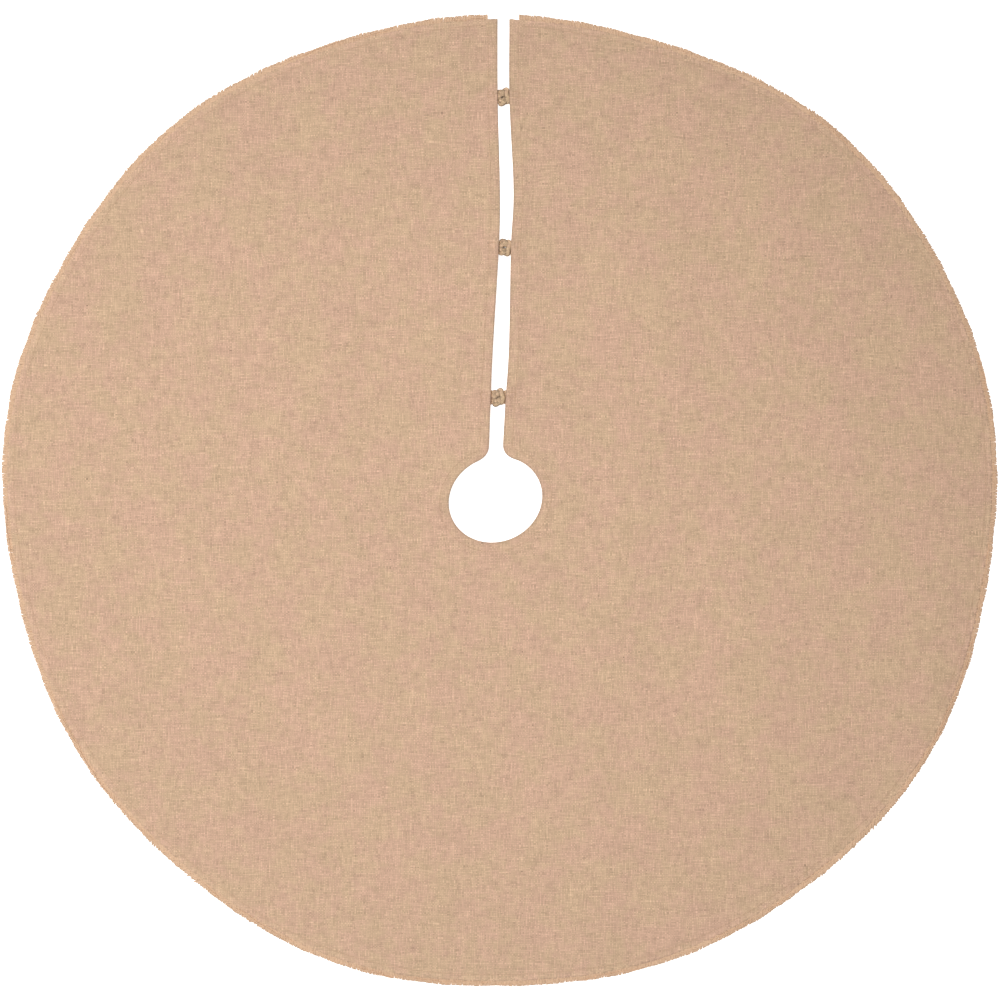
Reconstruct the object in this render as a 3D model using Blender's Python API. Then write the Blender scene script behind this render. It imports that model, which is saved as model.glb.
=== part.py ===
"""Round burlap tree skirt, lying flat, with its slit tied shut by three knots.

The skirt is one circle of cloth with a trunk hole and one slit, which runs from the hole to the
rim along +Y.  The slit and hole edges are hemmed underneath, the rim is a self fringe behind a
row of stay stitching, and three pairs of cloth ties are knotted across the slit.  It folds in
half across the hole for storage, so the cloth is made as a back half and a front half that meet
at the fold line Y = 0.  The skirt lies on Z = 0 with its origin at the middle of its outline.

All sizes are millimetres until make_object turns them into metres.
"""

import math

import bpy
import numpy as np
from mathutils.geometry import delaunay_2d_cdt

METRES = 0.001
GAP = 0.3  # clearance between neighbouring pieces

# ---- the circle of cloth ----
SKIRT_RADIUS = 609.6  # to the tips of the fringe, a 48 inch skirt
RIM_WAVES = (  # cycles round the rim, height, and bearing of a crest in degrees
    (1, 1.4, 105.0),
    (2, 6.8, -5.0),
    (3, 3.6, 33.0),
    (4, 2.6, -42.0),
    (5, 1.6, 35.0),
    (9, 2.2, 10.0),
)
RIM_STATIONS = 120
CLOTH = 1.0  # thickness
FRINGE_LENGTH = 6.5
FRINGE_THICKNESS = 0.7
FRINGE_MARGIN = 12.5  # bare rim beside the slit, as wide as the hem

# ---- the slit and the trunk hole, measured from the middle of the circle ----
SLIT_STATIONS = (  # distance up the slit, middle of the gap, width of the gap
    (612.0, 1.9, 14.8),
    (498.0, 1.9, 14.4),
    (383.0, 5.9, 16.7),
    (312.0, 3.6, 14.8),
    (190.0, -1.2, 19.6),
    (127.0, -4.6, 18.4),
    (68.0, -7.3, 17.0),
)
HOLE_CENTRE = (-8.0, 0.9)
HOLE_HALF_AXES = (58.5, 52.0)
HOLE_TILT = 22.0  # degrees
HOLE_ARC = (94.0, 402.0)  # degrees round the ellipse, from the left shoulder to the right one
HOLE_STATIONS = 40
SHOULDER_HEIGHT = 54.0  # where the slit's straight edges would meet the hole

# ---- hems and stitching ----
HEM_WIDTH = 13.0
HEM_STITCH_INSET = 11.5
HEM_END = 72.0  # height at which the slit hems hand over to the hole hem
RIM_STITCH_INSET = 8.0
THREAD_WIDTH = 0.9
THREAD_THICKNESS = 0.5

# ---- ties ----
TIES = (("upper", 498.0), ("middle", 312.0), ("lower", 127.0))  # distance up the slit
STRAND_WIDTH = 3.0
STRAND_THICKNESS = 1.8
LEG_WIDTH = 4.2
SIDES = 6  # of a strand's cross section
KNOT_SWING = 1.45  # how far each strand swings above and below the knot's middle
LOOP_REACH = 4.3  # from the knot's middle to the closed end of each loop
LEG_SPREAD = 2.5  # from the tie's centre line to each of a loop's two legs
LOOP_SPREAD = 7.3  # the same at the wide part of the loop
LEG_HEIGHT = 1.05
LANDING = 6.0  # how far under the hem a leg has come down to the floor
SEWN_LENGTH = 11.0
TAIL_LENGTH = 70.0
TACK_INSET = 8.5
TACK_LENGTH = 6.0

# ---- how far the cloth rides up over what lies beneath it ----
HEM_LIFT = CLOTH + GAP
HEM_COVER = HEM_WIDTH + 1.0
HEM_RAMP = 8.0
TAIL_LIFT = LEG_HEIGHT + STRAND_THICKNESS / 2 + GAP
TAIL_HALF_WIDTH = 5.5
TAIL_RAMP = 14.0
KNOT_LIFT = 1.9
KNOT_HALF_WIDTH = 9.0
KNOT_DEPTH = 3.0
KNOT_RAMP = 9.0
ZONE_OVERHANG = 4.0  # the raised zones start this far inside the gap, so that they reach its curved edge

# ---- finishes: material name and colour ----
BURLAP = ("burlap", (0.63, 0.42, 0.28, 1.0))
HEM_BURLAP = ("hem_burlap", (0.60, 0.40, 0.27, 1.0))
FRINGE_YARN = ("fringe_yarn", (0.66, 0.45, 0.29, 1.0))
TIE_BURLAP = ("tie_burlap", (0.50, 0.36, 0.20, 1.0))
SEWING_THREAD = ("sewing_thread", (0.55, 0.40, 0.27, 1.0))
ROUGHNESS = 0.95


# ---- plane curves ----
def rim_radius(angle):
    """Radius of the fringe tips at an angle from +X."""
    radius = SKIRT_RADIUS
    for cycles, height, crest in RIM_WAVES:
        radius += height * math.cos(cycles * (angle - math.radians(crest)))
    return radius


def rim_angles(start, end):
    """Evenly spaced angles from one bearing to another."""
    return np.linspace(start, end, RIM_STATIONS)


def circle_centre():
    """Middle of the circle of cloth, with the box of the outline centred on the origin."""
    angles = rim_angles(0, 2 * math.pi)
    tips = np.array([(rim_radius(a) * math.cos(a), rim_radius(a) * math.sin(a)) for a in angles])
    return -(tips.min(0) + tips.max(0)) / 2


CENTRE = circle_centre()


def rim_point(angle, inset):
    """A point at a distance inside the fringe tips."""
    radius = rim_radius(angle) - inset
    return CENTRE + radius * np.array((math.cos(angle), math.sin(angle)))


def smooth_curve(points, steps):
    """A Catmull-Rom curve through the points, with the given steps between neighbours."""
    points = np.array(points, float)
    padded = np.vstack((2 * points[0] - points[1], points, 2 * points[-1] - points[-2]))
    curve = []
    for before, start, end, after in zip(padded, padded[1:], padded[2:], padded[3:]):
        for t in np.arange(steps) / steps:
            linear = (end - before) * t
            square = (2 * before - 5 * start + 4 * end - after) * t**2
            cube = (3 * start - before - 3 * end + after) * t**3
            curve.append(start + (linear + square + cube) / 2)
    curve.append(points[-1])
    return np.array(curve)


def slit_edge(side):
    """One edge of the slit from the rim to the hole; side is -1 on the left and 1 on the right."""
    stations = [(middle + side * gap / 2, height) for height, middle, gap in SLIT_STATIONS]
    curve = smooth_curve(stations, 4) + CENTRE
    rim_angle = math.atan2(*(curve[0] - CENTRE)[::-1])
    corner = rim_point(rim_angle, FRINGE_LENGTH)
    return np.vstack((corner, curve[curve[:, 1] < corner[1] - HEM_WIDTH]))


def slit_side(height, side):
    """Where the slit's edge lies across the slit, at a distance up it."""
    heights, middles, gaps = zip(*reversed(SLIT_STATIONS))
    return CENTRE[0] + np.interp(height, heights, middles) + side * np.interp(height, heights, gaps) / 2


def hole_edge():
    """The hole's edge from its left shoulder round to its right one, anticlockwise."""
    tilt = math.radians(HOLE_TILT)
    turns = np.radians(np.linspace(*HOLE_ARC, HOLE_STATIONS))
    along = HOLE_HALF_AXES[0] * np.cos(turns)
    across = HOLE_HALF_AXES[1] * np.sin(turns)
    x = along * math.cos(tilt) - across * math.sin(tilt)
    y = along * math.sin(tilt) + across * math.cos(tilt)
    return np.column_stack((x, y)) + HOLE_CENTRE + CENTRE


def shoulder(slit_end, hole_end):
    """The rounded corner between the slit and the hole, without its two end points."""
    corner = np.array((slit_end[0], SHOULDER_HEIGHT + CENTRE[1]))
    shares = (0.2, 0.4, 0.6, 0.8)
    return [slit_end * (1 - t) ** 2 + corner * 2 * t * (1 - t) + hole_end * t**2 for t in shares]


def inner_edge():
    """The whole inner edge: down the slit's left side, round the hole and up the slit's right side."""
    left, hole, right = slit_edge(-1), hole_edge(), slit_edge(1)
    left_corner = shoulder(left[-1], hole[0])
    right_corner = shoulder(right[-1], hole[-1])
    return np.vstack((left, left_corner, hole, right_corner[::-1], right[::-1]))


INNER_EDGE = inner_edge()


def distance_to_inner_edge(point):
    """Shortest distance from a point to the inner edge."""
    starts, ends = INNER_EDGE[:-1], INNER_EDGE[1:]
    runs = ends - starts
    share = ((point - starts) * runs).sum(1) / (runs**2).sum(1)
    nearest = starts + runs * np.clip(share, 0, 1)[:, None]
    return np.linalg.norm(nearest - point, axis=1).min()


def inset_edge(inset):
    """The inner edge moved into the cloth; points that would cross over at a corner are dropped."""
    runs = np.gradient(INNER_EDGE, axis=0)
    normals = np.column_stack((runs[:, 1], -runs[:, 0])) / np.linalg.norm(runs, axis=1)[:, None]
    moved = INNER_EDGE + normals * inset
    return np.array([p for p in moved if distance_to_inner_edge(p) > inset * 0.985])


def cloth_outline():
    """The cloth without its fringe, as one anticlockwise loop."""
    left, right = INNER_EDGE[0] - CENTRE, INNER_EDGE[-1] - CENTRE
    start = math.atan2(left[1], left[0])
    end = math.atan2(right[1], right[0]) + 2 * math.pi
    rim = [rim_point(a, FRINGE_LENGTH) for a in rim_angles(start, end)[1:-1]]
    return np.vstack((rim, INNER_EDGE[::-1]))


def rim_band(outer_inset, inner_inset, margin):
    """A strip along the rim, between two insets, that stops short of the slit's edges by a margin."""
    left_x = slit_side(SKIRT_RADIUS, -1) - margin - CENTRE[0]
    right_x = slit_side(SKIRT_RADIUS, 1) + margin - CENTRE[0]
    start = math.pi / 2 + math.asin(-left_x / SKIRT_RADIUS)
    end = math.pi / 2 - math.asin(right_x / SKIRT_RADIUS) + 2 * math.pi
    angles = rim_angles(start, end)
    outer = [rim_point(a, outer_inset) for a in angles]
    inner = [rim_point(a, inner_inset) for a in angles]
    return np.vstack((outer, inner[::-1]))


def edge_band(near_inset, far_inset):
    """A strip along the inner edge, between two insets."""
    near = INNER_EDGE if near_inset == 0 else inset_edge(near_inset)
    return np.vstack((near, inset_edge(far_inset)[::-1]))


# ---- how high the cloth lies ----
def tie_zones():
    """The raised rectangles at the ties: middle, half sizes, width of the ramp round it, and lift."""
    zones = []
    for _, height in TIES:
        for side in (-1, 1):
            edge = slit_side(height, side)
            for length, half_width, ramp, lift in (
                (TAIL_LENGTH + 2, TAIL_HALF_WIDTH, TAIL_RAMP, TAIL_LIFT),
                (KNOT_DEPTH, KNOT_HALF_WIDTH, KNOT_RAMP, KNOT_LIFT),
            ):
                middle = (edge + side * (length - ZONE_OVERHANG) / 2, height + CENTRE[1])
                zones.append((middle, ((length + ZONE_OVERHANG) / 2, half_width), ramp, lift))
    return zones


TIE_ZONES = tie_zones()


def tie_lift(x, y):
    """Rise of the cloth over the ties' legs and knots."""
    total = 0.0
    for middle, half, ramp, lift in TIE_ZONES:
        outside = max(abs(x - middle[0]) - half[0], abs(y - middle[1]) - half[1])
        total += lift * min(max(1 - outside / ramp, 0.0), 1.0)
    return total


def hem_lift(x, y):
    """Rise of the top layer over the hem."""
    outside = distance_to_inner_edge(np.array((x, y))) - HEM_COVER
    return HEM_LIFT * min(max(1 - outside / HEM_RAMP, 0.0), 1.0)


def cloth_underside(x, y):
    return tie_lift(x, y) + hem_lift(x, y)


def stitch_underside(x, y):
    return cloth_underside(x, y) + CLOTH + GAP


def fringe_underside(x, y):
    return GAP / 2


def rectangle(middle, half):
    corners = ((-1, -1), (1, -1), (1, 1), (-1, 1), (-1, -1))
    return [(middle[0] + i * half[0], middle[1] + j * half[1]) for i, j in corners]


def tie_creases():
    """Where the cloth bends over the ties."""
    creases = []
    for middle, half, ramp, _ in TIE_ZONES:
        top = rectangle(middle, half)
        foot = rectangle(middle, (half[0] + ramp, half[1] + ramp))
        creases += [top, foot]
        creases += [list(ridge) for ridge in zip(top[:-1], foot)]
    return creases


def hem_creases():
    """Where the top layer bends over the hem."""
    return [inset_edge(HEM_COVER), inset_edge(HEM_COVER + HEM_RAMP)]


def level_line(height):
    """A line right across the skirt."""
    reach = SKIRT_RADIUS + 20
    return [(-reach, height), (reach, height)]


FOLD_LINES = [level_line(-GAP / 2), level_line(GAP / 2)]
HEM_CUTS = [level_line(HEM_END - GAP / 2), level_line(HEM_END + GAP / 2)]
HEM_TOP = min(INNER_EDGE[0][1], INNER_EDGE[-1][1]) - 1.0  # the hems stop just inside the rim


# ---- where each piece lies ----
def in_back(x, y):
    return y < -GAP / 2


def in_front(side):
    """The part of the front half on one side of the slit."""
    return lambda x, y: y > GAP / 2 and side * (x - slit_side(y, 0)) > 0


def beside_slit(side):
    return lambda x, y: in_front(side)(x, y) and HEM_END + GAP / 2 < y < HEM_TOP


def beside_hole(side):
    return lambda x, y: in_front(side)(x, y) and y < HEM_END - GAP / 2


# ---- solids ----
def inside(outline, points):
    """Which points lie inside a closed outline."""
    starts, ends = outline, np.roll(outline, -1, axis=0)
    found = []
    for x, y in points:
        spans = (starts[:, 1] > y) != (ends[:, 1] > y)
        a, b = starts[spans], ends[spans]
        crossings = a[:, 0] + (y - a[:, 1]) * (b[:, 0] - a[:, 0]) / (b[:, 1] - a[:, 1])
        found.append((crossings > x).sum() % 2 == 1)
    return np.array(found)


def triangulate(outline, creases, keep):
    """Triangles that fill the kept part of an outline, with an edge along every crease."""
    points = [tuple(p) for p in outline]
    edges = [(i, (i + 1) % len(points)) for i in range(len(points))]
    for crease in creases:
        first = len(points)
        points.extend(tuple(p) for p in crease)
        edges.extend((i, i + 1) for i in range(first, len(points) - 1))
    corners, _, faces, *_ = delaunay_2d_cdt(points, edges, [], 0, 1e-4)
    corners = np.array([tuple(c) for c in corners])
    faces = np.array(faces)
    middles = corners[faces].mean(1)
    kept = inside(np.array(outline), middles) & np.array([keep(*m) for m in middles])
    faces = faces[kept]
    used, renumbered = np.unique(faces, return_inverse=True)
    return corners[used], renumbered.reshape(-1, 3)


def material(finish):
    name, colour = finish
    found = bpy.data.materials.get(name)
    if found:
        return found
    made = bpy.data.materials.new(name)
    made.use_nodes = True
    shader = made.node_tree.nodes["Principled BSDF"]
    shader.inputs["Base Color"].default_value = colour
    shader.inputs["Roughness"].default_value = ROUGHNESS
    shader.inputs["Metallic"].default_value = 0.0
    made.diffuse_color = colour
    return made


def make_object(name, points, faces, finish):
    """An object whose mesh has the given points, turned into metres."""
    mesh = bpy.data.meshes.new(name)
    mesh.from_pydata([tuple(METRES * value for value in p) for p in points], [], faces)
    mesh.materials.append(material(finish))
    made = bpy.data.objects.new(name, mesh)
    bpy.context.scene.collection.objects.link(made)
    return made


def plate(name, outline, creases, keep, underside, thickness, finish):
    """A sheet of even thickness that follows the height of its underside."""
    corners, triangles = triangulate(outline, creases, keep)
    count = len(corners)
    low = [(x, y, underside(x, y)) for x, y in corners]
    high = [(x, y, z + thickness) for x, y, z in low]
    faces = [tuple(int(i) + count for i in t) for t in triangles]
    faces += [tuple(int(i) for i in t[::-1]) for t in triangles]
    sides = {(int(t[i]), int(t[(i + 1) % 3])) for t in triangles for i in range(3)}
    faces += [(a, b, b + count, a + count) for a, b in sides if (b, a) not in sides]
    return make_object(name, low + high, faces, finish)


def make_panels():
    """The top layer of cloth: the back half and the two front quarters beside the slit."""
    outline = cloth_outline()
    creases = hem_creases() + tie_creases() + FOLD_LINES
    for name, keep in (
        ("panel_back", in_back),
        ("panel_front_left", in_front(-1)),
        ("panel_front_right", in_front(1)),
    ):
        plate(name, outline, creases, keep, cloth_underside, CLOTH, BURLAP)


def make_hems():
    """The cloth turned under along the slit and round the hole."""
    outline = edge_band(0, HEM_WIDTH)
    creases = tie_creases() + FOLD_LINES + HEM_CUTS + [level_line(HEM_TOP)]
    for name, keep in (
        ("slit_hem_left", beside_slit(-1)),
        ("slit_hem_right", beside_slit(1)),
        ("hole_hem_back", in_back),
        ("hole_hem_front_left", beside_hole(-1)),
        ("hole_hem_front_right", beside_hole(1)),
    ):
        plate(name, outline, creases, keep, tie_lift, CLOTH, HEM_BURLAP)


def make_fringe():
    """The rim's yarn ends, as a strip outside the cloth."""
    outline = rim_band(0, FRINGE_LENGTH - GAP, FRINGE_MARGIN)
    for name, keep in (
        ("rim_fringe_back", in_back),
        ("rim_fringe_front_left", in_front(-1)),
        ("rim_fringe_front_right", in_front(1)),
    ):
        plate(name, outline, FOLD_LINES, keep, fringe_underside, FRINGE_THICKNESS, FRINGE_YARN)


def make_stitching():
    """The rows of thread on top: the rim's stay stitching, and the slit's and hole's hem stitching."""
    creases = hem_creases() + tie_creases() + FOLD_LINES + HEM_CUTS + [level_line(HEM_TOP)]
    rim_inset = FRINGE_LENGTH + RIM_STITCH_INSET
    rim_row = rim_band(rim_inset, rim_inset + THREAD_WIDTH, HEM_STITCH_INSET + 4)
    hem_row = edge_band(HEM_STITCH_INSET - THREAD_WIDTH / 2, HEM_STITCH_INSET + THREAD_WIDTH / 2)
    for name, outline, keep in (
        ("rim_stitch_back", rim_row, in_back),
        ("rim_stitch_front_left", rim_row, in_front(-1)),
        ("rim_stitch_front_right", rim_row, in_front(1)),
        ("slit_stitch_left", hem_row, beside_slit(-1)),
        ("slit_stitch_right", hem_row, beside_slit(1)),
        ("hole_stitch_back", hem_row, in_back),
        ("hole_stitch_front_left", hem_row, beside_hole(-1)),
        ("hole_stitch_front_right", hem_row, beside_hole(1)),
    ):
        plate(name, outline, creases, keep, stitch_underside, THREAD_THICKNESS, SEWING_THREAD)


def tie_stations(height, side):
    """A tie's centre line and width: sewn end, through the reef knot, back out and along its tail."""
    over = -side  # the left tie's loop lies over the right tie's legs
    half_gap = (slit_side(height, 1) - slit_side(height, -1)) / 2
    knot_height = GAP / 2 + STRAND_THICKNESS / 2 + KNOT_SWING
    crest = knot_height + over * KNOT_SWING
    trough = knot_height - over * KNOT_SWING
    exit_height = LEG_HEIGHT + (0.9 if over > 0 else 0.0)
    reach = LOOP_REACH
    middle_spread = (LEG_SPREAD + LOOP_SPREAD) / 2
    inner_half = [  # from the hem to the middle of the closed end, away from the tie's own side
        (half_gap + 0.8, LEG_SPREAD, exit_height, LEG_WIDTH),
        (reach + 1.0, LEG_SPREAD, crest - over * 0.15, STRAND_WIDTH),
        (reach - 0.6, LEG_SPREAD + 0.2, crest, STRAND_WIDTH),
        (0.0, middle_spread, trough, STRAND_WIDTH),
        (0.7 - reach, LOOP_SPREAD, knot_height + over * 0.5 * KNOT_SWING, STRAND_WIDTH),
        (-reach, LEG_SPREAD + 1.2, crest, STRAND_WIDTH),
        (-reach - 0.2, 0.0, crest, STRAND_WIDTH),
    ]
    landing = (half_gap + LANDING, LEG_SPREAD, LEG_HEIGHT, LEG_WIDTH)
    sewn_end = (half_gap + SEWN_LENGTH, LEG_SPREAD, LEG_HEIGHT, LEG_WIDTH)
    tail_end = (half_gap + TAIL_LENGTH, LEG_SPREAD, LEG_HEIGHT, LEG_WIDTH)
    upper = [sewn_end, landing] + inner_half
    lower = [(x, -y, z, width) for x, y, z, width in [tail_end, landing] + inner_half[:-1]]
    middle_x = (slit_side(height, 1) + slit_side(height, -1)) / 2
    middle_y = height + CENTRE[1]
    return [(middle_x + side * x, middle_y + y, z, width) for x, y, z, width in upper + lower[::-1]]


def make_tie(name, height, side):
    """A flattened strand swept along its centre line, six-sided and closed at both ends."""
    line = smooth_curve(tie_stations(height, side), 3)
    centres, widths = line[:, :3], line[:, 3]
    forward = np.gradient(centres, axis=0)
    across = np.cross((0.0, 0.0, 1.0), forward)
    across /= np.linalg.norm(across, axis=1)[:, None]
    upward = np.cross(forward, across)
    upward /= np.linalg.norm(upward, axis=1)[:, None]
    turns = [side_number * math.tau / SIDES for side_number in range(SIDES)]
    flat = math.sin(math.pi / 3)  # the height of a hexagon's flat top, for a radius of 1
    points = []
    for centre, width, sideways, up in zip(centres, widths, across, upward):
        for turn in turns:
            level = math.sin(turn) / flat * STRAND_THICKNESS / 2
            points.append(centre + sideways * math.cos(turn) * width / 2 + up * level)
    faces = []
    for ring in range(len(centres) - 1):
        start = ring * SIDES
        for k in range(SIDES):
            after = (k + 1) % SIDES
            faces.append((start + k, start + after, start + SIDES + after, start + SIDES + k))
    first_cap = tuple(range(SIDES))
    last_cap = tuple(len(points) - SIDES + k for k in range(SIDES))
    return make_object(name, points, faces + [first_cap[::-1], last_cap], TIE_BURLAP)


def make_tack(name, height, side):
    """The bar of stitches that holds a tie's sewn end, on top of the hem."""
    x = slit_side(height, side) + side * TACK_INSET
    y = height + CENTRE[1] + LEG_SPREAD
    outline = np.array(rectangle((x, y), (THREAD_WIDTH / 2, TACK_LENGTH / 2))[:-1])
    plate(name, outline, tie_creases(), lambda *_: True, stitch_underside, THREAD_THICKNESS, SEWING_THREAD)


def make_ties():
    for tie_name, height in TIES:
        for side_name, side in (("left", -1), ("right", 1)):
            make_tie(f"tie_{tie_name}_{side_name}", height, side)
            make_tack(f"tie_tack_{tie_name}_{side_name}", height, side)


def main():
    for leftover in list(bpy.data.objects):
        bpy.data.objects.remove(leftover, do_unlink=True)
    make_panels()
    make_hems()
    make_fringe()
    make_stitching()
    make_ties()


main()
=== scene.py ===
"""Looks of a round burlap tree skirt that lies flat, with its slit tied shut by three knots.

The cloth is one woven sheet with a frayed rim, turned-under hems along the slit and round the
trunk hole, rows of stitches, and three pairs of cloth ties in reef knots.  Shapes are worked out
in millimetres, and make_object turns them into metres.
"""

import math

import bpy
import numpy as np
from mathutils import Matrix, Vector
from mathutils.geometry import delaunay_2d_cdt


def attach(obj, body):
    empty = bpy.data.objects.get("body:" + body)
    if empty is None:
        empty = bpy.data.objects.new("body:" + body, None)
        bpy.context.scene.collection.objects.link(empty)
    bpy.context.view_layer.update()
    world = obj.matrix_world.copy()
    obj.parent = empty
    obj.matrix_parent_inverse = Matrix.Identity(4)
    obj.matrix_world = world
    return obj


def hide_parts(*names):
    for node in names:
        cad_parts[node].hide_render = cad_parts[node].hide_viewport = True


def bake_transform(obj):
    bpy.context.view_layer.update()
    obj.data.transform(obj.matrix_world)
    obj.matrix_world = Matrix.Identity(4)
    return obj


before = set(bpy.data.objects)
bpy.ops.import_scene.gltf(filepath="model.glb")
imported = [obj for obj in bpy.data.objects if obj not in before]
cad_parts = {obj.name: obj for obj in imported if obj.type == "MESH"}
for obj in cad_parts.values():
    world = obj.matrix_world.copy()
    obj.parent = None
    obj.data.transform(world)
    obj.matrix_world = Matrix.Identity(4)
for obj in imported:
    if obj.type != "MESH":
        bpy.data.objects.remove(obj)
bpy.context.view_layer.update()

METRES = 0.001

# ---- the circle of cloth ----
SKIRT_RADIUS = 609.6
RIM_WAVES = (  # cycles round the rim, height, and bearing of a crest in degrees
    (1, 1.4, 105.0),
    (2, 6.8, -5.0),
    (3, 3.6, 33.0),
    (4, 2.6, -42.0),
    (5, 1.6, 35.0),
    (9, 2.2, 10.0),
)
RIM_STATIONS = 120
RIM_STEP = 4.0
FRINGE_LENGTH = 6.5
FRINGE_MARGIN = 12.5
YARN_BURIED = 3.0  # how far a yarn end reaches back into the cloth
LOOSE_COUNT = 34
LEAST_SLANT = 0.35  # yarns that meet the rim at a flatter slant than this stay in the weave
SLIT_STATIONS = (  # distance up the slit, middle of the gap, width of the gap
    (612.0, 1.9, 14.8),
    (498.0, 1.9, 14.4),
    (383.0, 5.9, 16.7),
    (312.0, 3.6, 14.8),
    (190.0, -1.2, 19.6),
    (127.0, -4.6, 18.4),
    (68.0, -7.3, 17.0),
)
HOLE_CENTRE = (-8.0, 0.9)
HOLE_HALF_AXES = (58.5, 52.0)
HOLE_TILT = 22.0
HOLE_ARC = (94.0, 402.0)
HOLE_STATIONS = 100
SHOULDER_HEIGHT = 54.0
EDGE_STEP = 3.0

# ---- cloth, hems and stitching ----
CLOTH = 0.85
YARN_PITCH = 1.95
HEM_WIDTH = 13.0
HEM_STITCH_INSET = 11.5
HEM_END = 72.0
HEM_TOP = 590.0
HEM_RAMP = 9.0
ROLL_RADIUS = 0.65
RIM_STITCH_INSET = 8.0
STITCH_LENGTH = 3.2
STITCH_GAP = 0.7
THREAD_RADIUS = 0.3
YARN_SIDES = 6
HAIR_SIDES = 3

# ---- ties ----
TIES = (("upper", 498.0), ("middle", 312.0), ("lower", 127.0))
STRAND_WIDTH = 6.0
STRAND_THICKNESS = 1.8
KNOT_THICKNESS = 2.5
LEG_WIDTH = 4.8
KNOT_SWING = 1.45
LOOP_REACH = 4.6
LEG_SPREAD = 2.5
LOOP_SPREAD = 7.5
CROSSING_SPREAD = 4.6
CROSSING_WIDTH = 8.4
FAN_SPREAD = 4.6
FAN_WIDTH = 8.4
KNOT_SLANT = 0.11
ASKEW = 0.9
KNOT_MARGIN = 3.5  # how far past its loops a knot still thickens the strands
# how far past its loops the knot's painted shade on the strand edges still reaches
PAINTED_SHADE_MARGIN = 2.4
KNOT_EASE = 3.0
TIE_SIDES = 20
TIE_TURNS = np.arange(TIE_SIDES) * math.tau / TIE_SIDES
STATION_STEPS = 10
LEG_HEIGHT = 1.05
LANDING = 6.0
SEWN_LENGTH = 11.0
TAIL_LENGTH = 70.0
TACK_INSET = 8.5
TACK_SIZE = (8.0, 7.0)
TACK_STITCH = 2.2
TAIL_LIFT = 2.25
TAIL_HALF_WIDTH = 5.5
TAIL_RAMP = 14.0
KNOT_LIFT = 1.9
KNOT_HALF_WIDTH = 9.0
KNOT_DEPTH = 3.0
KNOT_RAMP = 9.0
ZONE_OVERHANG = 4.0

# ---- painted light and shade at the edges ----
# painted shade on the roll where the cloth turns under, and how far in from the edge it fades
TURN_PAINTED_SHADE = 0.78
TURN_PAINTED_SHADE_WIDTH = 3.0
# painted shade along the ties' folded strand edges in the knot
STRAND_EDGE_PAINTED_SHADE = 0.55
# painted light on the frayed rim, where light shines through the thin cloth, and how far in it reaches
RIM_PAINTED_LIGHT = 0.10
RIM_PAINTED_LIGHT_WIDTH = 7.0

# ---- how uneven the jute yarns are, in yarns, or in changes per metre ----
DRIFT = 5.0
DRIFT_SCALE = 9.0
SPACING_DRIFT = 3.2
SPACING_SCALE = 120.0
TONE_SCALE = 62.0
SLUB_SCALE = 95.0
SPECK_SCALE = 160.0
FIBRE_SCALE = 2600.0
FIBRE_CONTRAST = 0.7

# ---- how finely the cloth is divided ----
GRID_STEP = 8.0
TIE_STEP = 3.5
FOLD_STEP = 1.3
FOLD_END = 18.0  # the cloth bends between the fold line and this far in front of it
LADDER = (1.2, 2.4, 3.6, 4.8, 6.0, 7.2, 8.5, 10.0, 11.5, 13.0, 15.5, 18.0, 21.0, 25.0)
RIM_LADDER = (2.5, 6.0)

# ---- how the cloth lies ----
WAVES = 26
WAVE_HEIGHT = 1.1
WAVE_LENGTHS = (70.0, 260.0)
GATHER_HEIGHT = 0.33
GATHER_WIDTH = 5.6
GATHER_REACH = 13.0
GATHER_HALF_LENGTH = 13.0

# ---- floor and camera, the camera's sizes in metres ----
FLOOR_HALF_SIZE = 30000.0
FLOOR_LEVEL = -0.3
CAMERA_HEIGHT = 4.0
VIEW_WIDTH = 1.2353  # of the floor
VIEW_OFFSET = (-0.0024, 0.0003)  # from the middle of the circle of cloth
SENSOR = 36.0

random = np.random.default_rng(48)


# ---- plane curves ----
def rim_radius(angles):
    """Radius of the fringe tips at angles from +X."""
    waves = [h * np.cos(n * (angles - math.radians(crest))) for n, h, crest in RIM_WAVES]
    return SKIRT_RADIUS + sum(waves)


def direction(angles):
    return np.stack((np.cos(angles), np.sin(angles)), axis=-1)


def circle_centre():
    """Middle of the circle of cloth, with the box of the outline centred on the origin."""
    angles = np.linspace(0, math.tau, RIM_STATIONS)
    tips = direction(angles) * rim_radius(angles)[:, None]
    return -(tips.min(0) + tips.max(0)) / 2


CENTRE = circle_centre()


def rim_inset(points):
    """How far points lie inside the fringe tips."""
    offset = points - CENTRE
    return rim_radius(np.arctan2(offset[:, 1], offset[:, 0])) - np.linalg.norm(offset, axis=1)


def rim_point(angles, inset):
    """Points at a distance inside the fringe tips."""
    return CENTRE + direction(angles) * (rim_radius(angles) - inset)[:, None]


def smooth_curve(points, steps):
    """A Catmull-Rom curve through the points, with the given steps between neighbours."""
    points = np.array(points, float)
    padded = np.vstack((2 * points[0] - points[1], points, 2 * points[-1] - points[-2]))
    curve = []
    for before, start, end, after in zip(padded, padded[1:], padded[2:], padded[3:]):
        for t in np.arange(steps) / steps:
            linear = (end - before) * t
            square = (2 * before - 5 * start + 4 * end - after) * t**2
            cube = (3 * start - before - 3 * end + after) * t**3
            curve.append(start + (linear + square + cube) / 2)
    curve.append(points[-1])
    return np.array(curve)


def even_steps(line, step):
    """The same line with points at an even distance along it."""
    lengths = np.concatenate(([0], np.cumsum(np.linalg.norm(np.diff(line, axis=0), axis=1))))
    wanted = np.linspace(0, lengths[-1], max(2, round(lengths[-1] / step) + 1))
    return np.column_stack([np.interp(wanted, lengths, column) for column in line.T])


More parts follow.
